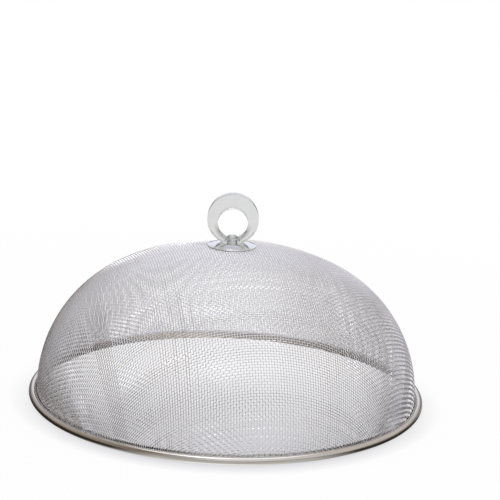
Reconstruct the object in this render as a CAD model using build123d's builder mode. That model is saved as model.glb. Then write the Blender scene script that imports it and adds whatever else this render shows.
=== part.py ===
"""Mesh food cover: a dome of wire cloth in a rolled steel rim, lifted by a clear ring handle.

Millimetres, +Z up. The origin is the middle of the circle on which the rim stands.
"""

import os
from math import atan2, cos, degrees, hypot, pi, sin, sqrt

from build123d import *

# Rim: a strip of sheet steel rolled round the edge of the cloth
rim_diameter = 300.0
rim_width = 7.5
rim_height = 5.6
rim_slope = 1.6
rim_sheet = 0.5
rim_inner_bend = 0.8

# Dome: wire cloth pressed to a crown arc and a shoulder arc, upright in the rim
dome_height = 117.0
crown_radius = 200.0
cloth_thickness = 1.0
cloth_edge_lift = 0.3

# Lattice: each bar stands for the band of wires between the middles of two gaps
bar_pitch = 22.0
bar_width = 1.5
hem_margin = 1.5
least_gap_height = 3.0
crown_disc_margin = 1.0

# Handle: a flat clear ring, wide above and narrow below, with a boss for the screw
ring_diameter = 38.4
finger_hole_diameter = 22.7
finger_hole_drop = 3.6
ring_depth = 8.0
ring_rounding = 1.0
ring_sink = 1.2
boss_diameter = 7.6
boss_height = 5.3
boss_rounding = 1.8

# Plate between handle and cloth
plate_diameter = 36.6
plate_rise = 2.4
plate_lip = 0.9
plate_lip_rounding = 0.3
plate_bedding = 0.1
seat_margin = 0.3

# Screw and washer inside the dome
washer_diameter = 24.0
washer_thickness = 1.0
screw_diameter = 4.0
screw_clearance = 0.4
thread_clearance = 0.1
screw_reach = 3.4
screw_tip_room = 0.6
head_diameter = 8.0
head_height = 2.6
head_rounding = 1.2
recess_length = 4.4
recess_width = 1.0
recess_depth = 1.3

# Radii and heights that follow from the sizes
rim_radius = rim_diameter / 2
leg_radius = rim_radius - rim_width
cloth_inner_radius = leg_radius + rim_sheet
cloth_radius = cloth_inner_radius + cloth_thickness
roll_radius = rim_height / 2
roll_centre = rim_radius - roll_radius
slit_height = rim_height - rim_slope
cloth_foot = rim_sheet + cloth_edge_lift
spring_height = rim_height
dome_rise = dome_height - spring_height
shoulder_radius = (2 * dome_rise * crown_radius - cloth_radius**2 - dome_rise**2) / (
    2 * (crown_radius - cloth_radius)
)
shoulder_centre = cloth_radius - shoulder_radius
crown_centre = dome_height - crown_radius
join_angle = atan2(spring_height - crown_centre, shoulder_centre)
hem_height = rim_height + hem_margin
clear_radius = (screw_diameter + screw_clearance) / 2
washer_radius = washer_diameter / 2
crown_disc_radius = washer_radius + crown_disc_margin
seat_height = dome_height + plate_rise
seat_radius = sqrt(ring_sink * (ring_diameter - ring_sink)) + seat_margin
washer_foot = dome_height - cloth_thickness - washer_thickness
os.makedirs("parts", exist_ok=True)


def save(piece, name):
    """Names a finished piece and writes it to its own file."""
    piece.part.label = name
    export_step(piece.part, f"parts/{name}.step")


def crown_height(radius, inward):
    """Height of the crown at a radius, on the surface that lies inward from the cloth's outer face."""
    return crown_centre + sqrt((crown_radius - inward) ** 2 - radius**2)


def crown_arc(radius, inward):
    """Arc of the crown in section, from the pole out to a radius, inward from the cloth's outer face."""
    middle = radius / 2
    return ThreePointArc(
        (0, crown_height(0, inward)),
        (middle, crown_height(middle, inward)),
        (radius, crown_height(radius, inward)),
    )


def cloth_line(inward):
    """Line of the cloth in section, from its pole to its foot, inward from the outer face."""
    turn = degrees(join_angle)
    crown = CenterArc((0, crown_centre), crown_radius - inward, 90, turn - 90)
    shoulder = CenterArc((shoulder_centre, spring_height), shoulder_radius - inward, turn, -turn)
    skirt = Line(shoulder @ 1, (cloth_radius - inward, cloth_foot))
    return crown @ 0, skirt @ 1


# The net of the cloth: bars of equal length from knot to knot, as wires keep theirs when cloth is pressed
finest_tilt = 1e-9
net_depth = cloth_thickness / 2
net_crown = crown_radius - net_depth
net_shoulder = shoulder_radius - net_depth
net_radius = cloth_radius - net_depth
crown_length = net_crown * (pi / 2 - join_angle)
shoulder_length = net_shoulder * join_angle


def on_meridian(length):
    """Radius and height of the net at a length from the pole, along the middle of a side."""
    if length < crown_length:
        turn = pi / 2 - length / net_crown
        return net_crown * cos(turn), crown_centre + net_crown * sin(turn)
    if length < crown_length + shoulder_length:
        turn = join_angle - (length - crown_length) / net_shoulder
        return shoulder_centre + net_shoulder * cos(turn), spring_height + net_shoulder * sin(turn)
    return net_radius, spring_height + crown_length + shoulder_length - length


def off_net(point):
    """Distance of a point outward from the net's surface, whose skirt runs on below the rim."""
    radius = hypot(point.X, point.Y)
    if point.Z < spring_height:
        return radius - net_radius
    if atan2(point.Z - crown_centre, radius) > join_angle:
        return hypot(radius, point.Z - crown_centre) - net_crown
    return hypot(radius - shoulder_centre, point.Z - spring_height) - net_shoulder


def next_knot(corner, beside, ahead):
    """Fourth knot of a mesh: one pitch from both its neighbours, on the net's surface."""
    middle = (beside + ahead) * 0.5
    across = ahead - beside
    reach = sqrt(max(bar_pitch**2 - across.length**2 / 4, 0))
    onward = middle - corner
    onward = (onward - across * (onward.dot(across) / across.length**2)).normalized()
    outward = onward.cross(across).normalized()
    if outward.dot(middle) < 0:
        outward = -outward
    low, high = -pi / 2, pi / 2
    while high - low > finest_tilt:
        tilt = (low + high) / 2
        knot = middle + onward * (reach * cos(tilt)) + outward * (reach * sin(tilt))
        if off_net(knot) > 0:
            high = tilt
        else:
            low = tilt
    return knot


def quarter_meshes():
    """Corner knots of each mesh in the quarter between +X and +Y that rises above the hem."""
    count = int((crown_length + shoulder_length) / bar_pitch) + 1
    knots = {}
    for step in range(count + 1):
        radius, height = on_meridian(step * bar_pitch)
        knots[step, 0] = Vector(radius, 0, height)
        knots[0, step] = Vector(0, radius, height)
    meshes = []
    for row in range(count):
        for column in range(count):
            near = [knots.get(key) for key in ((row, column), (row + 1, column), (row, column + 1))]
            if None in near or max(knot.Z for knot in near) < hem_height + least_gap_height:
                continue
            corner, beside, ahead = near
            knots[row + 1, column + 1] = next_knot(corner, beside, ahead)
            meshes.append((corner, beside, knots[row + 1, column + 1], ahead))
    return meshes


def gap_prism(corners):
    """The open gap of one mesh, cut square to the cloth: its corners moved in by half a bar from each side."""
    inner = []
    for index, corner in enumerate(corners):
        onward = (corners[(index + 1) % 4] - corner).normalized()
        back = (corners[index - 1] - corner).normalized()
        inner.append(corner + (onward + back) * (bar_width / 2 / onward.cross(back).length))
    middle = (inner[0] + inner[1] + inner[2] + inner[3]) * 0.25
    square = Plane(middle, x_dir=inner[2] - inner[0], z_dir=(inner[2] - inner[0]).cross(inner[3] - inner[1]))
    flat = [square.to_local_coords(corner) for corner in inner]
    with BuildPart() as gap:
        with BuildSketch(square):
            with BuildLine():
                Polyline(*[(corner.X, corner.Y) for corner in flat], close=True)
            make_face()
        extrude(amount=cloth_thickness + bar_pitch**2 / (4 * shoulder_radius), both=True)
    return gap.part


# Gaps of one quarter, clear of the hem in the rim and of the disc under plate and washer
with BuildPart() as gaps:
    add([gap_prism(corners) for corners in quarter_meshes()])
    with BuildSketch(Plane.XZ):
        with Locations((crown_disc_radius, hem_height)):
            Rectangle(rim_radius, dome_height, align=(Align.MIN, Align.MIN))
    revolve(axis=Axis.Z, mode=Mode.INTERSECT)

# Dome of wire cloth: a quarter turned and pierced, then mirrored to both sides
with BuildPart() as mesh_dome:
    with BuildSketch(Plane.XZ):
        with BuildLine():
            outer_pole, outer_foot = cloth_line(0)
            inner_pole, inner_foot = cloth_line(cloth_thickness)
            Line(outer_pole, inner_pole)
            Line(outer_foot, inner_foot)
        make_face()
        with Locations((0, dome_height)):
            Rectangle(2 * clear_radius, 4 * cloth_thickness, mode=Mode.SUBTRACT)
    revolve(axis=Axis.Z, revolution_arc=90)
    add(gaps.part, mode=Mode.SUBTRACT)
    mirror(about=Plane.XZ)
    mirror(about=Plane.YZ)
save(mesh_dome, "mesh_dome")

# Rim: foot, outer roll and a top that falls to the cloth in one strip, slit where the cloth goes in
with BuildPart() as rim_band:
    with BuildSketch(Plane.XZ) as rim_section:
        with BuildLine():
            foot = Line((leg_radius, 0), (roll_centre, 0))
            roll = ThreePointArc(foot @ 1, (rim_radius, roll_radius), (roll_centre, rim_height))
            slope = TangentArc(roll @ 1, (cloth_radius, slit_height), tangent=(-1, 0))
            Polyline(slope @ 1, (cloth_radius, rim_height), (leg_radius, rim_height), foot @ 0)
        make_face()
        fillet(rim_section.vertices().group_by(Axis.Y)[0].sort_by(Axis.X)[0], rim_inner_bend)
        offset(amount=-rim_sheet, mode=Mode.SUBTRACT)
        with Locations((cloth_inner_radius, rim_sheet)):
            Rectangle(cloth_thickness, rim_height, align=(Align.MIN, Align.MIN), mode=Mode.SUBTRACT)
    revolve(axis=Axis.Z)
save(rim_band, "rim_band")

# Base plate: hollowed to the crown below, domed above, with a flat seat for the handle
lip_radius = plate_diameter / 2
lip_foot = crown_height(lip_radius, -plate_bedding)
with BuildPart() as base_plate:
    with BuildSketch(Plane.XZ) as plate_section:
        with BuildLine():
            under = crown_arc(lip_radius, -plate_bedding)
            lip = Line(under @ 1, (lip_radius, lip_foot + plate_lip))
            seat = Line((seat_radius, seat_height), (0, seat_height))
            TangentArc(seat @ 0, lip @ 1, tangent=(1, 0))
            Line(seat @ 1, under @ 0)
        make_face()
        fillet(plate_section.vertices().group_by(Axis.X)[-1], plate_lip_rounding)
        with Locations((0, seat_height)):
            Rectangle(2 * clear_radius, 4 * plate_rise, mode=Mode.SUBTRACT)
    revolve(axis=Axis.Z)
save(base_plate, "base_plate")

# Ring handle: a flat ring round an eccentric finger hole, with a boss for the screw and a foot on the plate
ring_centre = seat_height + ring_diameter / 2 - ring_sink
screw_tip = seat_height + screw_reach
with BuildPart() as handle_ring:
    with BuildSketch(Plane.XZ):
        with Locations((0, ring_centre)):
            Circle(ring_diameter / 2)
        with Locations((0, ring_centre - finger_hole_drop)):
            Circle(finger_hole_diameter / 2, mode=Mode.SUBTRACT)
    extrude(amount=ring_depth / 2, both=True)
    fillet(handle_ring.edges().filter_by(GeomType.CIRCLE), ring_rounding)
    split(bisect_by=Plane.XY.offset(seat_height))
    with BuildSketch(Plane.XZ) as boss_section:
        with Locations((0, seat_height)):
            Rectangle(boss_diameter / 2, boss_height, align=(Align.MIN, Align.MIN))
        fillet(boss_section.vertices().group_by(Axis.Y)[-1].sort_by(Axis.X)[-1], boss_rounding)
    revolve(axis=Axis.Z)
    with BuildSketch(Plane.XY.offset(seat_height)):
        Circle((screw_diameter + thread_clearance) / 2)
    extrude(amount=screw_reach + screw_tip_room, mode=Mode.SUBTRACT)
save(handle_ring, "handle_ring")

# Washer inside, dished to the crown
with BuildPart() as backing_washer:
    with BuildSketch(Plane.XZ):
        with BuildLine():
            above = crown_arc(washer_radius, cloth_thickness)
            below = crown_arc(washer_radius, cloth_thickness + washer_thickness)
            Line(above @ 0, below @ 0)
            Line(above @ 1, below @ 1)
        make_face()
        with Locations((0, washer_foot)):
            Rectangle(2 * clear_radius, 4 * washer_thickness, mode=Mode.SUBTRACT)
    revolve(axis=Axis.Z)
save(backing_washer, "backing_washer")

# Screw: pan head under the washer, shank up into the boss
head_top = crown_height(head_diameter / 2, cloth_thickness + washer_thickness)
head_foot = head_top - head_height
with BuildPart() as clamp_screw:
    with BuildSketch(Plane.XY.offset(head_foot)):
        Circle(head_diameter / 2)
    extrude(amount=head_height)
    fillet(clamp_screw.edges().group_by(Axis.Z)[0], head_rounding)
    with BuildSketch(Plane.XY.offset(head_top)):
        Circle(screw_diameter / 2)
    extrude(amount=screw_tip - head_top)
    with BuildSketch(Plane.XY.offset(head_foot)):
        Rectangle(recess_length, recess_width)
        Rectangle(recess_width, recess_length)
    extrude(amount=recess_depth, mode=Mode.SUBTRACT)
save(clamp_screw, "clamp_screw")
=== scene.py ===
# %% [markdown]
# # A mesh food cover
#
# A dome of woven wire keeps flies off a dish. Its edge sits in a rolled steel rim, and a clear ring on a
# bright plate lifts it. The solid model was made first, at its real size, and it stays as it is. This
# lesson loads it, reads the sizes from it, and gives each piece the shape and finish that show up close.

# %% Load the solid model
from math import atan2, ceil, cos, pi, radians, sin, sqrt

import bpy
import numpy as np
from mathutils import Matrix, Vector


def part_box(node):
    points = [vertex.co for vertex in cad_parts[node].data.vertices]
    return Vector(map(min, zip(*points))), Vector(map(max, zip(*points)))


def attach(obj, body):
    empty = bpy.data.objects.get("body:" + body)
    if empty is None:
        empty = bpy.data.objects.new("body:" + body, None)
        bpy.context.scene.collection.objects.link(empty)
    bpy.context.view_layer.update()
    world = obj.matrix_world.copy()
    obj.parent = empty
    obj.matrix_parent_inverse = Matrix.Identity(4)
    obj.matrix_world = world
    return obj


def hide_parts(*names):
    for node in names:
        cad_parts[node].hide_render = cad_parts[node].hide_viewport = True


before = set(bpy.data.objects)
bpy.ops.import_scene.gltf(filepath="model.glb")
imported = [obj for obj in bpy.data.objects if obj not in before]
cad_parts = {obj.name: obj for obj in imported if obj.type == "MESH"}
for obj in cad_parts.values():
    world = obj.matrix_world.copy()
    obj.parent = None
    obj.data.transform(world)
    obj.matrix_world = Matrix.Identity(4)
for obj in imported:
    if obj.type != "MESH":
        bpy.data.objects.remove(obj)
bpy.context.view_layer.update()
scene = bpy.context.scene
MM = 0.001
print("solids:", sorted(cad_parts))

# %% [markdown]
# ## The camera
#
# The photograph was taken from a little over a metre, from 19 degrees above the table, with a long lens
# and the camera held slightly turned. It also looks past the cover, so the cover's foot is not in the
# middle of the picture. The camera is first aimed at the middle of the foot and rolled, and then turned
# until that point falls on its own pixel. No lens shift is needed.

# %% Camera
picture_side = 500
camera_distance = 1.2
camera_elevation = radians(19.1)
camera_roll = radians(2.3)
focal_length = 1556.0
foot_middle = (226.0, 393.0)

bpy.ops.object.camera_add()
camera = bpy.context.object
camera.data.sensor_width = 36
camera.data.lens = focal_length / picture_side * camera.data.sensor_width
to_foot = Vector((foot_middle[0] - picture_side / 2, picture_side / 2 - foot_middle[1], -focal_length))
lift = Matrix.Rotation(pi / 2 - camera_elevation, 4, "X")
roll = Matrix.Rotation(camera_roll, 4, "Z")
turn_aside = to_foot.rotation_difference(Vector((0, 0, -1))).to_matrix().to_4x4()
stand = Vector((0, -cos(camera_elevation), sin(camera_elevation))) * camera_distance
camera.matrix_world = Matrix.Translation(stand) @ lift @ roll @ turn_aside
scene.camera = camera
scene.view_settings.view_transform = "Standard"
print("lens:", round(camera.data.lens, 1), "mm")

# %% [markdown]
# ## Shader sums
#
# A finish is worked out from where a point lies on the piece. Written as separate nodes such sums are hard
# to follow, so a small class wraps a socket: adding two of them adds the Math node that does it.


# %% A socket that can be added and multiplied
class Reading:
    """A socket in a node tree. Sums of readings and numbers become Math nodes."""

    def __init__(self, tree, socket=None):
        self.tree = tree
        self.socket = socket

    def node(self, kind, settings=None, inputs=None, output=0):
        """Adds a node, sets it up, fills or links its sockets and gives the reading of one output."""
        made = self.tree.nodes.new(kind)
        for name, value in (settings or {}).items():
            if name == "stops":
                while len(made.color_ramp.elements) < len(value):
                    made.color_ramp.elements.new(1)
                for stop, (place, colour) in zip(made.color_ramp.elements, value):
                    stop.position = place
                    stop.color = (*colour, 1)
            else:
                setattr(made, name, value)
        for name, value in (inputs or {}).items():
            if isinstance(value, Reading):
                self.tree.links.new(value.socket, made.inputs[name])
            else:
                made.inputs[name].default_value = value
        return Reading(self.tree, made.outputs[output])

    def math(self, operation, first, second=0.0):
        return self.node("ShaderNodeMath", {"operation": operation}, {0: first, 1: second})

    def between(self, low, high, first=0.0, last=1.0):
        """Runs from first to last while this reading runs from low to high, and stays there."""
        ends = {"From Min": low, "From Max": high, "To Min": first, "To Max": last}
        return self.node("ShaderNodeMapRange", inputs={"Value": self, **ends})

    def colours(self, *stops):
        """A colour for each value of this reading: stops of a place and a colour, smoothly joined."""
        return self.node("ShaderNodeValToRGB", {"stops": stops}, {"Fac": self})

    def blend(self, first, second):
        """Goes from the first colour to the second while this reading goes from 0 to 1."""
        sockets = {0: self, 6: first, 7: second}
        return self.node("ShaderNodeMix", {"data_type": "RGBA"}, sockets, output=2)

    def __add__(self, other):
        return self.math("ADD", self, other)

    def __radd__(self, other):
        return self.math("ADD", other, self)

    def __sub__(self, other):
        return self.math("SUBTRACT", self, other)

    def __rsub__(self, other):
        return self.math("SUBTRACT", other, self)

    def __mul__(self, other):
        return self.math("MULTIPLY", self, other)

    def __rmul__(self, other):
        return self.math("MULTIPLY", other, self)


def new_finish(name):
    """A new material: its main shader, and a reading from which its other nodes are added."""
    material = bpy.data.materials.new(name)
    material.use_nodes = True
    shader = material.node_tree.nodes["Principled BSDF"]
    return material, shader, Reading(material.node_tree)


def feed(shader, **sockets):
    """Sets or links the shader's sockets, written with low lines for spaces."""
    for name, value in sockets.items():
        socket = shader.inputs[name.replace("_", " ")]
        if isinstance(value, Reading):
            value.tree.links.new(value.socket, socket)
        else:
            socket.default_value = value


def surface(start, shade):
    """Sends this shading to the material's output instead of the main shader."""
    feed(start.tree.nodes["Material Output"], Surface=shade)


def own_place(start):
    """Where a point lies on its piece, in metres: the vector, its parts and its distance from the axis."""
    place = start.node("ShaderNodeTexCoord", output="Object")
    x, y, z = (start.node("ShaderNodeSeparateXYZ", inputs={0: place}, output=axis) for axis in "XYZ")
    return place, x, y, z, start.math("SQRT", x * x + y * y)


def noise(start, vector, scale, detail=2.0):
    """Cloudy values round one half, with this many clouds to the metre."""
    return start.node("ShaderNodeTexNoise", inputs={"Vector": vector, "Scale": scale, "Detail": detail})


# %% [markdown]
# ## The stage
#
# The cover stands on a white table under soft light. White all round would make bright metal vanish, so a
# ring of cloth hangs round the table, as a photographer's tent, and a mat lies on it. The camera sees
# neither of them, but metal mirrors both, and their tones draw its edges. The table glows a little for the
# camera, which makes it white like paper, but greyer under the front of the dome, where the wires take
# light away. Metal sees the table white in the middle, and darker and warmer to both sides, which shades
# the flanks of the dome. Glass sees the table as it is, the tent paler and the mat not at all, so the ring
# stays clear from every side.

# %% Sky and table
sky_fill = 0.88
table_side = 6.0
table_gap = 0.2 * MM
under_share = 0.85
near_share = 0.93
white = (1, 1, 1, 1)
front_tone = (0.57, 0.57, 0.61, 1)
front_shade = (-0.14, 0.06)
dome_shade_edge = (0.138, 0.165)
white_edge = (0.25, 0.7)
mirror_edge = (0.02, 0.11)


def ray_kind(start, name):
    """1 for rays of this kind, 0 for others."""
    return start.node("ShaderNodeLightPath", output=f"Is {name} Ray")


def mirrored(start):
    """1 for rays that metal or glass sends on."""
    return start.math("MINIMUM", ray_kind(start, "Glossy") + ray_kind(start, "Transmission"), 1.0)


world = bpy.data.worlds.new("studio")
world.use_nodes = True
scene.world = world
sky = Reading(world.node_tree)
sky_shows = ray_kind(sky, "Camera") + ray_kind(sky, "Transmission")
sky_strength = sky_fill + (1 - sky_fill) * sky_shows
feed(world.node_tree.nodes["Background"], Color=white, Strength=sky_strength)

bpy.ops.mesh.primitive_plane_add(size=table_side, location=(0, 0, -table_gap))
table = bpy.context.object
table.name = "table"
paper, paper_shader, start = new_finish("white_paper")
feed(paper_shader, Base_Color=(0.9, 0.9, 0.9, 1), Roughness=0.7)
place, x, y, z, radius = own_place(start)
beside = radius.between(*dome_shade_edge)
share = beside.between(0.0, 1.0, under_share, near_share)
share = share + radius.between(*white_edge, 0.0, 1.0 - near_share)
share = share * ray_kind(start, "Camera") + mirrored(start)
shaded = (1.0 - beside) * y.between(*front_shade, 1.0, 0.0)
seen_tone = shaded.blend(white, front_tone)
sent_tone = start.math("ABSOLUTE", x).between(*mirror_edge).colours(
    (0.0, (1.0, 1.0, 1.0)), (0.45, (0.55, 0.54, 0.54)), (1.0, (0.05, 0.03, 0.015))
)
in_metal = ray_kind(start, "Glossy") * (1.0 - ray_kind(start, "Transmission"))
tone = in_metal.blend(seen_tone, sent_tone)
glow = start.node("ShaderNodeEmission", inputs={"Color": tone, "Strength": 1.0})
lit = Reading(start.tree, paper_shader.outputs[0])
surface(start, start.node("ShaderNodeMixShader", inputs={0: share, 1: lit, 2: glow}))
table.data.materials.append(paper)
print("table:", table_side, "m wide")

# %% Lamps
lamp_aim = Vector((0, 0, 0.06))


def soft_lamp(name, place, side, brightness):
    """A square lamp that looks at the dome and shows as this bright in a mirror."""
    bpy.ops.object.light_add(type="AREA", location=place)
    lamp = bpy.context.object
    lamp.name = name
    lamp.data.size = side
    lamp.data.energy = brightness * pi * side**2
    lamp.rotation_mode = "QUATERNION"
    lamp.rotation_quaternion = (lamp_aim - Vector(place)).to_track_quat("-Z", "Y")


soft_lamp("key_lamp", (-0.15, -0.42, 1.2), 0.35, 1.2)
soft_lamp("top_lamp", (0.0, -0.1, 1.25), 1.2, 0.35)

# %% Tent and mat that the camera doesn't see
tent_radius = 1.5
tent_height = 3.2
tent_fade = (0.12, 0.45)
panel_side = (0.045, 0.06)
panel_foot = (0.10, 0.18)
panel_top = (1.05, 1.2)
panel_tone = (0.86, 0.88, 0.96, 1)
through_glass = 0.6
tent_sides = 96
mat_sides = 128
mat_inner = 0.1503
mat_outer = 1.5
mat_fade = (0.165, 0.21)
mat_gap = 0.1 * MM


def only_mirrored(cloth, finish):
    """Hides a cloth from the camera and from the light, so that only metal and glass show it."""
    cloth.data.materials.append(finish)
    cloth.visible_camera = False
    cloth.visible_diffuse = False
    cloth.visible_shadow = False


def round_table(start, x, y):
    """Where a point lies round the table: 0.25 on the left, 0.5 in front, 0.75 on the right, 0 behind."""
    return start.math("ARCTAN2", x, 0.0 - y) * (1 / (2 * pi)) + 0.5


def glowing(start, tone):
    """Shows a colour just as it is."""
    surface(start, start.node("ShaderNodeEmission", inputs={"Color": tone, "Strength": 1.0}))


bpy.ops.object.select_all(action="DESELECT")
middle = (0, 0, tent_height / 2)
bpy.ops.mesh.primitive_cylinder_add(
    vertices=tent_sides, radius=tent_radius, depth=tent_height, end_fill_type="NOTHING", location=middle
)
tent = bpy.context.object
tent.name = "tent"
bpy.ops.object.transform_apply(location=True, rotation=False, scale=False)
tent_cloth, shader, start = new_finish("tent_cloth")
place, x, y, z, radius = own_place(start)
turn = round_table(start, x, y)
low_tone = turn.colours(
    (0.0, (0.03, 0.03, 0.035)),
    (0.2, (0.07, 0.05, 0.035)),
    (0.37, (0.38, 0.33, 0.29)),
    (0.5, (0.51, 0.50, 0.49)),
    (0.62, (0.40, 0.39, 0.38)),
    (0.87, (0.09, 0.09, 0.09)),
    (1.0, (0.03, 0.03, 0.035)),
)
high_tone = turn.colours(
    (0.0, (0.57, 0.57, 0.62)),
    (0.25, (0.37, 0.32, 0.27)),
    (0.37, (0.17, 0.14, 0.11)),
    (0.5, (0.82, 0.82, 0.86)),
    (0.62, (0.74, 0.735, 0.75)),
    (0.75, (0.62, 0.57, 0.52)),
    (0.87, (0.65, 0.625, 0.60)),
    (1.0, (0.57, 0.57, 0.62)),
)
from_back = start.math("MINIMUM", turn, 1.0 - turn)
panel = from_back.between(*panel_side, 1.0, 0.0)
panel = panel * z.between(*panel_foot) * z.between(*panel_top, 1.0, 0.0)
tent_tone = z.between(*tent_fade).blend(low_tone, high_tone)
tent_tone = panel.blend(tent_tone, panel_tone)
paler = through_glass * ray_kind(start, "Transmission")
glowing(start, paler.blend(tent_tone, white))
only_mirrored(tent, tent_cloth)

bpy.ops.object.select_all(action="DESELECT")
bpy.ops.mesh.primitive_circle_add(vertices=mat_sides, radius=mat_inner, location=(0, 0, -mat_gap))
mat = bpy.context.object
mat.name = "mat"
bpy.ops.object.mode_set(mode="EDIT")
bpy.ops.mesh.extrude_edges_move()
mat_growth = mat_outer / mat_inner
bpy.ops.transform.resize(value=(mat_growth, mat_growth, 1), center_override=(0, 0, 0))
bpy.ops.object.mode_set(mode="OBJECT")
mat_cloth, shader, start = new_finish("mat_cloth")
place, x, y, z, radius = own_place(start)
turn = round_table(start, x, y)
near_tone = turn.colours(
    (0.24, (0.40, 0.39, 0.40)),
    (0.27, (0.035, 0.028, 0.022)),
    (0.41, (0.035, 0.028, 0.022)),
    (0.45, (0.54, 0.53, 0.51)),
    (0.57, (0.56, 0.55, 0.53)),
    (0.61, (0.035, 0.032, 0.03)),
    (0.71, (0.035, 0.032, 0.03)),
    (0.74, (0.45, 0.44, 0.45)),
)
far_tone = turn.colours(
    (0.0, (0.39, 0.39, 0.40)),
    (0.22, (0.045, 0.04, 0.035)),
    (0.38, (0.11, 0.10, 0.09)),
    (0.50, (0.36, 0.35, 0.34)),
    (0.70, (0.29, 0.28, 0.27)),
    (0.88, (0.40, 0.40, 0.40)),
    (1.0, (0.39, 0.39, 0.40)),
)
glowing(start, radius.between(*mat_fade).blend(near_tone, far_tone))
only_mirrored(mat, mat_cloth)
mat.visible_transmission = False
print("round the table:", tent.name, mat.name)

# %% [markdown]
# ## The dome's curve
#
# In section the cloth has three stretches that run smoothly into each other: a wide crown arc, a tighter
# shoulder arc, and a short upright skirt inside the rim. The solid model uses the same three, so their
# sizes come from its box and from the crown's radius.

# %% The curve on which the wires lie
wire_radius = 0.25 * MM
wire_pitch = 1.98 * MM
crown_radius = 200 * MM
cloth_low, cloth_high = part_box("mesh_dome")
rim_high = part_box("rim_band")[1]
rim_radius = round(rim_high.x, 4)
rim_height = round(rim_high.z, 4)
cloth_radius = round(cloth_high.x, 4)
dome_height = round(cloth_high.z, 4)
cloth_foot = round(cloth_low.z, 4)

dome_rise = dome_height - rim_height
shoulder_radius = (2 * dome_rise * crown_radius - cloth_radius**2 - dome_rise**2) / (
    2 * (crown_radius - cloth_radius)
)
shoulder_centre = cloth_radius - shoulder_radius
crown_centre = dome_height - crown_radius
join_angle = atan2(rim_height - crown_centre, shoulder_centre)
net_depth = 2 * wire_radius
net_crown = crown_radius - net_depth
net_shoulder = shoulder_radius - net_depth
net_radius = cloth_radius - net_depth
crown_length = net_crown * (pi / 2 - join_angle)
shoulder_length = net_shoulder * join_angle
skirt_length = rim_height - cloth_foot
cloth_length = crown_length + shoulder_length + skirt_length
print("dome:", round(dome_height / MM), "mm high, shoulder radius", round(shoulder_radius / MM), "mm")


def along_meridian(length):
    """Radius and height of the wires' surface at a length from the pole."""
    crown_turn = length / net_crown
    shoulder_turn = join_angle - (length - crown_length) / net_shoulder
    below = length - crown_length - shoulder_length
    stretches = [length < crown_length, below < 0]
    crown = net_crown * np.sin(crown_turn), crown_centre + net_crown * np.cos(crown_turn)
    shoulder_out = shoulder_centre + net_shoulder * np.cos(shoulder_turn)
    shoulder_up = rim_height + net_shoulder * np.sin(shoulder_turn)
    radius = np.select(stretches, [crown[0], shoulder_out], net_radius)
    height = np.select(stretches, [crown[1], shoulder_up], rim_height - below)
    return radius, height


def outside(points):
    """Distance of points outward from the wires' surface, and the direction that leads outward there."""
    radius = np.hypot(points[..., 0], points[..., 1])
    on_crown = np.arctan2(points[..., 2] - crown_centre, radius) > join_angle
    on_skirt = points[..., 2] < rim_height
    centre_radius = np.where(on_crown, 0.0, shoulder_centre)
    centre_height = np.where(on_skirt, points[..., 2], np.where(on_crown, crown_centre, rim_height))
    arc_radius = np.where(on_crown, net_crown, net_shoulder)
    out = radius - centre_radius
    up = points[..., 2] - centre_height
    reach = np.hypot(out, up)
    away = np.divide(out, radius, out=np.zeros_like(radius), where=radius > 0)
    normal = np.stack([points[..., 0] * away, points[..., 1] * away, up], axis=-1) / reach[..., None]
    return reach - arc_radius, normal


# %% [markdown]
# ## How cloth lies on a dome
#
# Wire cloth doesn't stretch, but its square meshes can lean over into diamonds. So on the dome every mesh
# keeps its four equal sides. Two wires cross at the pole and run straight down to the rim, and every other
# crossing follows from its neighbours: it is one pitch from both of them, on the dome. The net stays
# square along those two wires and leans over between them, as on the real cover.

# %% Crossings of a quarter of the cloth
wires_each_way = ceil(cloth_length / wire_pitch)
crossings = np.zeros((wires_each_way + 1, wires_each_way + 1, 3))
radii, heights = along_meridian(np.arange(wires_each_way + 1) * wire_pitch)
crossings[:, 0] = np.stack([radii, np.zeros_like(radii), heights], axis=-1)
crossings[0, :] = np.stack([np.zeros_like(radii), radii, heights], axis=-1)
halvings = 40


def fourth_crossing(corner, beside, ahead):
    """The crossing that closes each mesh: found by halving the tilt of the mesh about its diagonal."""
    middle = (beside + ahead) / 2
    across = ahead - beside
    width = np.linalg.norm(across, axis=-1, keepdims=True)
    across = across / width
    reach = np.sqrt(np.maximum(wire_pitch**2 - width**2 / 4, 0))
    onward = middle - corner
    onward = onward - across * np.sum(onward * across, axis=-1, keepdims=True)
    onward = onward / np.linalg.norm(onward, axis=-1, keepdims=True)
    normal = np.cross(onward, across)
    normal = normal * np.sign(np.sum(normal * middle, axis=-1, keepdims=True))
    low = np.full(len(middle), -pi / 2)
    high = np.full(len(middle), pi / 2)
    for halving in range(halvings):
        tilt = (low + high) / 2
        found = middle + reach * (onward * np.cos(tilt)[:, None] + normal * np.sin(tilt)[:, None])
        off = outside(found)[0]
        high = np.where(off > 0, tilt, high)
        low = np.where(off > 0, low, tilt)
    return found


for diagonal in range(2, 2 * wires_each_way + 1):
    first = np.arange(max(1, diagonal - wires_each_way), min(wires_each_way, diagonal - 1) + 1)
    second = diagonal - first
    crossings[first, second] = fourth_crossing(
        crossings[first - 1, second - 1], crossings[first, second - 1], crossings[first - 1, second]
    )
print("wires each way:", 2 * wires_each_way + 1)

# %% [markdown]
# ## The woven wires
#
# A flat grid is the cloth before pressing. Each of its vertices is a crossing and moves to its place on the
# dome. Then the grid is copied: one copy keeps the edges that run front to back, the other those that run
# side to side. At every crossing one wire is lifted and the other pressed down, in turn, which is what
# weaving does. Turned into curves with a round bevel, the edges become wires. The cloth was pressed with
# its wires about ten degrees off the handle, so the whole net is turned by that much.

# %% Weave the cloth
cloth_turn = radians(10.5)
screw_hole_radius = 2.6 * MM
wire_sides = 6


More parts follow.
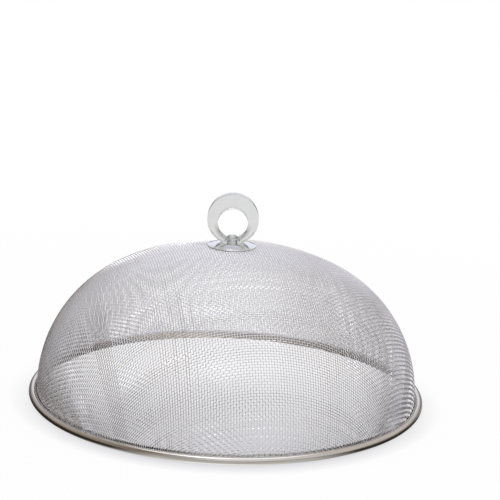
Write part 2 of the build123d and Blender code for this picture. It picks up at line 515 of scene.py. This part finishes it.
def only_active(piece):
    """Selects this piece alone and makes it the active one."""
    bpy.ops.object.select_all(action="DESELECT")
    piece.select_set(True)
    bpy.context.view_layer.objects.active = piece


def pick(piece, kind, chosen):
    """Opens a piece in edit mode with only the chosen vertices, edges or faces selected."""
    kinds = ("vertices", "edges", "polygons")
    scene.tool_settings.mesh_select_mode = [name == kind for name in kinds]
    for name in kinds:
        parts = getattr(piece.data, name)
        parts.foreach_set("select", np.zeros(len(parts), dtype=bool) if name != kind else chosen)
    bpy.ops.object.mode_set(mode="EDIT")


def points_of(piece):
    """The places of a piece's vertices, a row each."""
    places = np.empty(len(piece.data.vertices) * 3)
    piece.data.vertices.foreach_get("co", places)
    return places.reshape(-1, 3)


def move_points(piece, places):
    """Moves a piece's vertices to these places."""
    piece.data.vertices.foreach_set("co", places.ravel())
    piece.data.update()


def woven_wires(name, along_x, half):
    """The wires of one direction over one half of the dome, as a mesh of round wires."""
    bpy.ops.object.select_all(action="DESELECT")
    count = 2 * wires_each_way
    bpy.ops.mesh.primitive_grid_add(x_subdivisions=count, y_subdivisions=count, size=count * wire_pitch)
    piece = bpy.context.object
    mesh = piece.data
    numbers = np.rint(points_of(piece) / wire_pitch).astype(int)
    across, along = numbers[:, 0], numbers[:, 1]
    place = crossings[abs(across), abs(along)] * np.where(numbers < 0, -1, 1)
    place = place @ np.array(Matrix.Rotation(cloth_turn, 3, "Z")).T
    off, normal = outside(place)
    over = np.where((across + along) % 2 == 0, 1, -1) * (1 if along_x else -1)
    move_points(piece, place + normal * (over * wire_radius)[:, None])

    own = along if along_x else across
    other_half = own >= 0 if half < 0 else own < 0
    in_hole = np.hypot(place[:, 0], place[:, 1]) < screw_hole_radius
    dropped = other_half | in_hole | (place[:, 2] < cloth_foot)
    pick(piece, "vertices", dropped)
    bpy.ops.mesh.delete(type="VERT")
    bpy.ops.mesh.select_all(action="SELECT")
    bpy.ops.mesh.delete(type="ONLY_FACE")
    bpy.ops.object.mode_set(mode="OBJECT")

    ends = np.empty(len(mesh.edges) * 2, dtype=int)
    mesh.edges.foreach_get("vertices", ends)
    kept = own[~dropped][ends.reshape(-1, 2)]
    pick(piece, "edges", kept[:, 0] != kept[:, 1])
    bpy.ops.mesh.delete(type="EDGE")
    bpy.ops.object.mode_set(mode="OBJECT")

    bpy.ops.object.convert(target="CURVE")
    wires = bpy.context.object
    wires.data.bevel_depth = wire_radius
    wires.data.bevel_resolution = wire_sides // 2 - 2
    wires.data.use_fill_caps = True
    bpy.ops.object.convert(target="MESH")
    cloth = bpy.context.object
    cloth.name = name
    cloth.data.name = name
    print(name, len(cloth.data.vertices), "vertices", len(cloth.data.polygons), "faces")
    return cloth


cloth_pieces = [
    woven_wires("wires_along_left", False, -1),
    woven_wires("wires_along_right", False, 1),
    woven_wires("wires_across_front", True, -1),
    woven_wires("wires_across_back", True, 1),
]


# %% [markdown]
# ## The finish of the wires
#
# Drawn stainless wire is bright, with slow changes of tone along the coil it came from and a slightly
# rougher skin where it was pressed. A map rolled out from the pole gives every wire its own small place on
# it.

# %% Finish of the wires
map_name = "OFBake"
map_steps = 400


def roll_out(piece):
    """Lays the piece's map out flat from the pole, by length along the dome and by direction."""
    places = points_of(piece)
    lengths = np.linspace(0, cloth_length, map_steps)
    reach = np.interp(-places[:, 2], -along_meridian(lengths)[1], lengths) / (2 * cloth_length)
    turn = np.arctan2(places[:, 1], places[:, 0])
    flat = 0.5 + reach[:, None] * np.stack([np.cos(turn), np.sin(turn)], axis=-1)
    corners = np.empty(len(piece.data.loops), dtype=int)
    piece.data.loops.foreach_get("vertex_index", corners)
    piece.data.uv_layers.new(name=map_name).data.foreach_set("uv", flat[corners].ravel())


def hand_over(piece, node, finish):
    """Gives a piece its finish and lets it stand for a solid of the model."""
    piece.data.materials.clear()
    piece.data.materials.append(finish)
    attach(piece, "root")
    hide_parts(node)


wire_steel, shader, start = new_finish("drawn_wire")
place, x, y, z, radius = own_place(start)
slow = noise(start, place, 30.0, 3.0)
fine = noise(start, place, 900.0)
wire_colour = slow.colours((0.3, (0.91, 0.905, 0.94)), (0.7, (0.955, 0.95, 0.985)))
wire_polish = 0.15 + 0.08 * slow + 0.06 * fine
feed(shader, Base_Color=wire_colour, Metallic=1.0, Roughness=wire_polish)
for cloth in cloth_pieces:
    roll_out(cloth)
    hand_over(cloth, "mesh_dome", wire_steel)
print("cloth pieces:", [cloth.name for cloth in cloth_pieces])

# %% [markdown]
# ## Turned pieces
#
# Rim, plate, washer and screw are all round. Each is drawn as half a section, like the template for a
# lathe: one vertex is pulled out point by point, and the line is spun once round the axis. Where the first
# and last line meet, the doubled vertices are merged, and the normals are turned outward.

# %% Spin an outline
smooth_edge = radians(35)
weld = 0.002 * MM


def arc(centre, radius, start, stop, steps):
    """Points of an arc in the section: distance from the axis and height, turned from start to stop."""
    turns = [radians(start + (stop - start) * step / steps) for step in range(steps + 1)]
    return [(centre[0] + radius * cos(turn), centre[1] + radius * sin(turn)) for turn in turns]


def turned(name, outline, sides):
    """A round piece: its half section spun round the axis."""
    bpy.ops.object.select_all(action="DESELECT")
    bpy.ops.mesh.primitive_plane_add(size=MM, location=(outline[0][0], 0, outline[0][1]))
    piece = bpy.context.object
    piece.name = name
    piece.data.name = name
    bpy.ops.object.transform_apply(location=True, rotation=False, scale=False)
    scene.tool_settings.mesh_select_mode = (True, False, False)
    bpy.ops.object.mode_set(mode="EDIT")
    bpy.ops.mesh.select_all(action="SELECT")
    bpy.ops.mesh.merge(type="CENTER")
    for before, after in zip(outline, outline[1:]):
        step = (after[0] - before[0], 0, after[1] - before[1])
        bpy.ops.mesh.extrude_vertices_move(TRANSFORM_OT_translate={"value": step})
    bpy.ops.mesh.select_all(action="SELECT")
    bpy.ops.mesh.spin(steps=sides, angle=2 * pi, center=(0, 0, 0), axis=(0, 0, 1))
    bpy.ops.mesh.select_all(action="SELECT")
    bpy.ops.mesh.remove_doubles(threshold=weld)
    bpy.ops.mesh.normals_make_consistent(inside=False)
    bpy.ops.object.mode_set(mode="OBJECT")
    return piece


def soften(piece):
    """Shades a piece smooth, apart from its sharp edges."""
    only_active(piece)
    bpy.ops.object.shade_smooth_by_angle(angle=smooth_edge)
    print(piece.name, len(piece.data.vertices), "vertices", len(piece.data.polygons), "faces")


# %% [markdown]
# ## The rim
#
# The rim is a strip of stainless sheet, rolled into a hollow bead round the edge of the cloth. From the
# roll outside, its top falls to a slit, in which the cloth is held against an inner leg. Between bead and
# wires a narrow line is left, coloured with painted shade and light: black at the sides of the cover, pale
# in the middle. The inner leg carries painted reflections, darker and warmer than the outside, in patches
# along the strip, with random wear over them. Through the cloth it shows as a stripe.

# %% Rim
rim_sheet = 0.5 * MM
rim_inner_bend = 0.8 * MM
rim_slope = 1.6 * MM
rim_sides = 256
bend_steps = 6
roll_steps = 24
slope_steps = 10
slit_room = 0.15 * MM
cloth_thickness = 4 * wire_radius
leg_outer = cloth_radius - cloth_thickness
leg_inner = leg_outer - rim_sheet
slit_outer = cloth_radius + slit_room
roll_radius = rim_height / 2
roll_centre = rim_radius - roll_radius
slope_run = roll_centre - slit_outer
slope_bend = (slope_run**2 + rim_slope**2) / (2 * rim_slope)
slope_turn = np.degrees(2 * np.arctan(rim_slope / slope_run))
leg_round = rim_sheet / 2
leg_middle = (leg_inner + leg_outer) / 2
leg_top = (leg_middle, rim_height - leg_round)
rim_outline = [
    *arc((leg_inner + rim_inner_bend, rim_inner_bend), rim_inner_bend, 180, 270, bend_steps),
    *arc((roll_centre, roll_radius), roll_radius, -90, 90, roll_steps),
    *arc((roll_centre, rim_height - slope_bend), slope_bend, 90, 90 + slope_turn, slope_steps)[1:],
    (slit_outer, rim_sheet),
    (leg_outer, rim_sheet),
    *arc(leg_top, leg_round, 0, 180, bend_steps),
]
rim = turned("rolled_rim", [*rim_outline, rim_outline[0]], rim_sides)
soften(rim)

# %% Finish of the rim
lines_along = 25.0
lines_across = 5000.0
worked_range = (0.35, 0.65)
leg_wear = 0.25
worn_leg = (0.50, 0.455, 0.39, 1)
# share of metal taken from the slit, so that its painted shade and light show
slit_matte_share = 0.8
rim_steel, shader, start = new_finish("rolled_steel")
place, x, y, z, radius = own_place(start)
drawn_out = {0: x * lines_along, 1: y * lines_along, 2: (radius - z) * lines_across}
rolled = noise(start, start.node("ShaderNodeCombineXYZ", inputs=drawn_out), 1.0)
slow = noise(start, place, 45.0, 3.0)
worked = 0.6 * rolled + 0.4 * slow
outer_colour = worked.colours((worked_range[0], (0.68, 0.65, 0.61)), (worked_range[1], (0.78, 0.75, 0.71)))
sideways = x.between(-rim_radius, rim_radius)
# painted reflection: the inner leg is darker and warmer than the outside, in patches from left to right
leg_painted_reflection = sideways.colours(
    (0.20, (0.33, 0.295, 0.25)),
    (0.31, (0.54, 0.485, 0.41)),
    (0.43, (0.46, 0.415, 0.355)),
    (0.53, (0.23, 0.205, 0.175)),
    (0.65, (0.31, 0.28, 0.24)),
    (0.77, (0.25, 0.225, 0.19)),
)
leg_reflection_and_wear = worked.between(*worked_range, 0.0, leg_wear).blend(leg_painted_reflection, worn_leg)
beyond_leg = radius.between(leg_middle, leg_outer)
# painted shade and light: the slit is painted black at the sides of the cover and pale in the middle
slit_painted_shade_and_light = sideways.colours(
    (0.36, (0.05, 0.045, 0.04)),
    (0.45, (0.80, 0.79, 0.78)),
    (0.68, (0.80, 0.79, 0.78)),
    (0.80, (0.10, 0.09, 0.08)),
)
in_slot = beyond_leg * radius.between(slit_outer, slit_outer + slit_room, 1.0, 0.0)
in_slot = in_slot * z.between(rim_inner_bend, 2 * rim_inner_bend)
rim_colour = in_slot.blend(beyond_leg.blend(leg_reflection_and_wear, outer_colour), slit_painted_shade_and_light)
rim_polish = 0.10 + 0.10 * rolled + 0.06 * slow
feed(shader, Base_Color=rim_colour, Metallic=1.0 - slit_matte_share * in_slot, Roughness=rim_polish)
hand_over(rim, "rim_band", rim_steel)
print("finish:", rim_steel.name)

# %% [markdown]
# ## The plate
#
# A small chromed plate spreads the pull of the handle over the cloth. Below it is hollowed to the crown,
# above it rises in a shallow dome to a flat seat for the handle, and its edge is a fine round bead. Under
# the bead a dark line is painted, a painted shadow where the bead sits on the cloth.

# %% Plate
plate_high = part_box("base_plate")[1]
plate_radius = round(plate_high.x, 4)
seat_height = round(plate_high.z, 5)
plate_bedding = 0.1 * MM
bead_radius = 0.45 * MM
seat_radius = 7.0 * MM
bore_radius = 2.2 * MM
plate_sides = 128
plate_steps = 24
bead_steps = 8


def crown_height(radius, inward):
    """Height of the crown at a radius, on the surface that lies inward from the cloth's outer face."""
    return crown_centre + sqrt((crown_radius - inward) ** 2 - radius**2)


def crown_points(inner, outer, inward):
    """Points of the crown's section from one radius out to another."""
    radii = [inner + (outer - inner) * step / plate_steps for step in range(plate_steps + 1)]
    return [(radius, crown_height(radius, inward)) for radius in radii]


bead_centre = (plate_radius - bead_radius, crown_height(plate_radius, -plate_bedding) + bead_radius)
fall = seat_height - (bead_centre[1] + bead_radius)
run = bead_centre[0] - seat_radius
dome_bend = (run**2 + fall**2) / (2 * fall)
dome_turn = 90 - np.degrees(np.arcsin(run / dome_bend))
plate_outline = [
    *crown_points(bore_radius, bead_centre[0], -plate_bedding),
    *arc(bead_centre, bead_radius, -90, 90, bead_steps),
    *arc((seat_radius, seat_height - dome_bend), dome_bend, dome_turn, 90, plate_steps)[1:],
    (bore_radius, seat_height),
]
plate = turned("chromed_plate", [*plate_outline, plate_outline[0]], plate_sides)
soften(plate)

# %% Finish of the plate
bead_shadow_colour = (0.10, 0.095, 0.09, 1)
chrome, shader, start = new_finish("bright_chrome")
place, x, y, z, radius = own_place(start)
touched = noise(start, place, 160.0, 3.0)
fine = noise(start, place, 1500.0)
clean_colour = touched.colours((0.3, (0.84, 0.85, 0.87)), (0.7, (0.90, 0.90, 0.91)))
# painted shadow: a dark line under the bead, where it sits on the cloth
bead_shadow = z.between(bead_centre[1] - bead_radius / 2, bead_centre[1] + bead_radius / 4, 1.0, 0.0)
bead_shadow = bead_shadow * radius.between(bead_centre[0], plate_radius - bead_radius / 2)
chrome_colour = bead_shadow.blend(clean_colour, bead_shadow_colour)
chrome_polish = touched.between(0.4, 0.75, 0.03, 0.10) + 0.02 * fine
feed(shader, Base_Color=chrome_colour, Metallic=1.0, Roughness=chrome_polish)
hand_over(plate, "base_plate", chrome)
print("finish:", chrome.name)

# %% [markdown]
# ## The ring handle
#
# The ring is cut from clear acrylic, with flat faces and rounded edges. The finger hole lies below the
# middle of the ring, so the ring is wide above and narrow below. Two circles are bridged to a face, the
# face is pulled out to its depth, and its four round edges are bevelled. A small boss stands on the plate
# inside the ring and takes the screw. Both are joined, cut flat at the seat, and bored. The acrylic is a
# little grey, with painted shade where the limbs run down beside the finger hole. The boss is milky, which
# hides the screw, and carries painted shading: light in the middle, dark at the sides, with painted glints.

# %% Ring
handle_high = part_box("handle_ring")[1]
ring_radius = round(handle_high.x, 4)
ring_depth = round(2 * handle_high.y, 4)
finger_hole_radius = 11.35 * MM
finger_hole_drop = 3.6 * MM
ring_rounding = 1.0 * MM
ring_edge = radians(60)
ring_steps = 160
rounding_steps = 6
ring_centre = round(handle_high.z, 5) - ring_radius

bpy.ops.object.select_all(action="DESELECT")
upright = (pi / 2, 0, 0)
bpy.ops.mesh.primitive_circle_add(
    vertices=ring_steps, radius=ring_radius, location=(0, -ring_depth / 2, ring_centre), rotation=upright
)
ring = bpy.context.object
ring.name = "clear_ring"
ring.data.name = "clear_ring"
bpy.ops.object.transform_apply(location=True, rotation=True, scale=False)
bpy.ops.object.mode_set(mode="EDIT")
bpy.ops.mesh.primitive_circle_add(
    vertices=ring_steps,
    radius=finger_hole_radius,
    location=(0, -ring_depth / 2, ring_centre - finger_hole_drop),
    rotation=upright,
)
bpy.ops.mesh.select_all(action="SELECT")
bpy.ops.mesh.bridge_edge_loops()
bpy.ops.mesh.select_all(action="SELECT")
bpy.ops.mesh.extrude_region_move(TRANSFORM_OT_translate={"value": (0, ring_depth, 0)})
bpy.ops.mesh.select_all(action="SELECT")
bpy.ops.mesh.normals_make_consistent(inside=False)
bpy.ops.mesh.select_mode(type="EDGE")
bpy.ops.mesh.select_all(action="DESELECT")
bpy.ops.mesh.edges_select_sharp(sharpness=ring_edge)
bpy.ops.mesh.bevel(offset=ring_rounding, segments=rounding_steps)
bpy.ops.object.mode_set(mode="OBJECT")
print("ring:", round(handle_high.z / MM, 1), "mm above the table")

# %% Boss, seat and bore
boss_radius = 3.8 * MM
boss_height = 5.3 * MM
boss_rounding = 1.8 * MM
thread_radius = 2.05 * MM
bore_depth = 4.0 * MM
overlap = 1.0 * MM
round_sides = 64
edge_steps = 8


def combine(piece, tool, operation):
    """Joins a second shape to the piece, or cuts it away, and removes that second shape."""
    only_active(piece)
    change = piece.modifiers.new("combine", "BOOLEAN")
    change.operation = operation
    change.object = tool
    change.solver = "EXACT"
    bpy.ops.object.modifier_apply(modifier=change.name)
    bpy.data.objects.remove(tool)


boss_top = seat_height + boss_height
boss_outline = [
    (0, seat_height - overlap),
    (boss_radius, seat_height - overlap),
    *arc((boss_radius - boss_rounding, boss_top - boss_rounding), boss_rounding, 0, 90, edge_steps),
    (0, boss_top),
]
combine(ring, turned("boss", boss_outline, round_sides), "UNION")
only_active(ring)
bpy.ops.object.mode_set(mode="EDIT")
bpy.ops.mesh.select_all(action="SELECT")
bpy.ops.mesh.bisect(plane_co=(0, 0, seat_height), plane_no=(0, 0, 1), use_fill=True, clear_inner=True)
bpy.ops.object.mode_set(mode="OBJECT")
bore_outline = [
    (0, seat_height - overlap),
    (thread_radius, seat_height - overlap),
    (thread_radius, seat_height + bore_depth - thread_radius / 2),
    (0, seat_height + bore_depth),
]
combine(ring, turned("bore", bore_outline, round_sides), "DIFFERENCE")
soften(ring)

# %% Finish of the ring
limb_shade = 3.2 * MM
limb_shade_colour = (0.46, 0.47, 0.43, 1)
foot_blend = 0.1 * MM
fleck_reach = 7 * MM
milkiness = 0.75
scratch_depth = 0.02 * MM
shadow_tint = (0.9, 0.9, 0.9, 1)
acrylic, shader, start = new_finish("clear_acrylic")
place, x, y, z, radius = own_place(start)
handled = noise(start, place, 120.0, 3.0)
scratches = noise(start, place, 2500.0)
body_tint = handled.colours((0.3, (0.69, 0.69, 0.685)), (0.7, (0.75, 0.755, 0.76)))
# painted shade on the limbs beside the finger hole, below its middle
hole_height = z - (ring_centre - finger_hole_drop)
from_hole = start.math("SQRT", x * x + hole_height * hole_height)
limb = from_hole.between(finger_hole_radius + limb_shade / 2, finger_hole_radius + limb_shade, 1.0, 0.0)
limb = limb * hole_height.between(-finger_hole_radius / 2, 0.0, 1.0, 0.0)
aside = start.math("ABSOLUTE", x)
in_foot = aside.between(boss_radius - foot_blend, boss_radius + foot_blend, 1.0, 0.0)
in_foot = in_foot * z.between(boss_top + 2 * foot_blend, boss_top + 4 * foot_blend, 1.0, 0.0)
acrylic_tint_and_shade = limb.blend(body_tint, limb_shade_colour)
# painted shading on the milky boss: light in the middle, dark at the sides, with painted glints from noise
painted_glint_noise = noise(start, place, 700.0, 1.0)
milky_painted_shading = (aside + fleck_reach * (painted_glint_noise - 0.5)).between(0.0, boss_radius).colours(
    (0.1, (0.86, 0.86, 0.87)), (0.6, (0.55, 0.55, 0.54)), (0.95, (0.26, 0.26, 0.26))
)
polish = handled.between(0.45, 0.8, 0.0, 0.05)
relief = start.node(
    "ShaderNodeBump", inputs={"Strength": 0.05, "Distance": scratch_depth, "Height": scratches}
)
feed(
    shader,
    Base_Color=acrylic_tint_and_shade,
    Transmission_Weight=1.0,
    IOR=1.49,
    Roughness=polish,
    Normal=relief,
)
glass = Reading(start.tree, shader.outputs[0])
milky = start.node("ShaderNodeBsdfPrincipled", inputs={"Base Color": milky_painted_shading, "Roughness": 0.15})
cast = start.node("ShaderNodeMixShader", inputs={0: milkiness * in_foot, 1: glass, 2: milky})
clear = start.node("ShaderNodeBsdfTransparent", inputs={"Color": shadow_tint})
for_shadow = ray_kind(start, "Shadow")
surface(start, start.node("ShaderNodeMixShader", inputs={0: for_shadow, 1: cast, 2: clear}))
hand_over(ring, "handle_ring", acrylic)
print("finish:", acrylic.name)

# %% [markdown]
# ## Washer and screw
#
# Inside the dome a dished washer takes the place of the plate, and a pan head screw runs up through washer,
# cloth and plate into the boss. Its thread is a real one, though the milky boss hides it: rings of
# vertices on the shank move out and in along a helix.

# %% Washer
washer_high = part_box("backing_washer")[1]
washer_radius = round(washer_high.x, 4)
washer_thickness = 1.0 * MM
washer_edge = 0.3 * MM
washer_edge_steps = 4
washer_top = cloth_thickness
washer_foot = cloth_thickness + washer_thickness
inner_edge = washer_radius - washer_edge
edge_top = crown_height(inner_edge, washer_top)
edge_foot = crown_height(inner_edge, washer_foot)
washer_outline = [
    *crown_points(bore_radius, inner_edge, washer_foot),
    *arc((inner_edge, edge_foot + washer_edge), washer_edge, -90, 0, washer_edge_steps)[1:],
    *arc((inner_edge, edge_top - washer_edge), washer_edge, 0, 90, washer_edge_steps),
    *crown_points(bore_radius, inner_edge, washer_top)[::-1][1:],
]
washer = turned("dished_washer", [*washer_outline, washer_outline[0]], plate_sides)
soften(washer)

# %% Screw
screw_low, screw_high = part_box("clamp_screw")
head_radius = round(screw_high.x, 4)
head_height = 2.6 * MM
head_rounding = 1.2 * MM
shank_radius = 2.0 * MM
core_radius = 1.6 * MM
thread_pitch = 0.7 * MM
thread_steps = 8
tip_chamfer = 0.5 * MM
recess_length = 4.4 * MM
recess_width = 1.0 * MM
recess_depth = 1.3 * MM
head_foot = round(screw_low.z, 5)
head_top = head_foot + head_height
screw_tip = round(screw_high.z, 5)
shank_steps = round((screw_tip - tip_chamfer - head_top) / thread_pitch * thread_steps)
shank_rise = (screw_tip - tip_chamfer - head_top) / shank_steps
screw_outline = [
    (0, head_foot),
    *arc((head_radius - head_rounding, head_foot + head_rounding), head_rounding, -90, 0, edge_steps),
    (head_radius, head_top),
    *[(shank_radius, head_top + shank_rise * step) for step in range(shank_steps + 1)],
    (core_radius, screw_tip),
    (0, screw_tip),
]
screw = turned("pan_head_screw", screw_outline, round_sides)
places = points_of(screw)
turn = np.arctan2(places[:, 1], places[:, 0]) / (2 * pi)
phase = (places[:, 2] - head_top) / thread_pitch - turn
groove = abs(2 * (phase % 1) - 1)
on_shank = np.hypot(places[:, 0], places[:, 1]) < shank_radius + weld
on_shank &= places[:, 2] > head_top + shank_rise / 2
on_shank &= places[:, 2] < screw_tip - tip_chamfer / 2
share = np.where(on_shank, 1 - (1 - core_radius / shank_radius) * groove, 1)
move_points(screw, places * np.stack([share, share, np.ones_like(share)], axis=-1))
for size in ((recess_length, recess_width), (recess_width, recess_length)):
    bpy.ops.object.select_all(action="DESELECT")
    bpy.ops.mesh.primitive_cube_add(size=1, location=(0, 0, head_foot), scale=(*size, 2 * recess_depth))
    combine(screw, bpy.context.object, "DIFFERENCE")
soften(screw)

# %% Finish of washer and screw
grain_along = 300.0
grain_across = 6000.0
pressed_steel, shader, start = new_finish("pressed_steel")
place, x, y, z, radius = own_place(start)
slow = noise(start, place, 220.0, 3.0)
grain = {0: x * grain_along, 1: y * grain_across, 2: z * grain_along}
rolled = noise(start, start.node("ShaderNodeCombineXYZ", inputs=grain), 1.0)
worked = 0.5 * slow + 0.5 * rolled
pressed_colour = worked.colours((0.35, (0.58, 0.58, 0.58)), (0.65, (0.70, 0.70, 0.70)))
feed(shader, Base_Color=pressed_colour, Metallic=1.0, Roughness=0.22 + 0.18 * rolled)
hand_over(washer, "backing_washer", pressed_steel)

zinc, shader, start = new_finish("zinc_plating")
place, x, y, z, radius = own_place(start)
spangle = start.node("ShaderNodeTexVoronoi", inputs={"Vector": place, "Scale": 1800.0}, output="Color")
spangle = start.node("ShaderNodeSeparateColor", inputs={0: spangle})
zinc_colour = spangle.colours((0.0, (0.60, 0.61, 0.62)), (0.6, (0.70, 0.70, 0.70)), (1.0, (0.74, 0.72, 0.68)))
feed(shader, Base_Color=zinc_colour, Metallic=1.0, Roughness=0.24 + 0.12 * spangle)
hand_over(screw, "clamp_screw", zinc)
print("finishes:", pressed_steel.name, zinc.name)
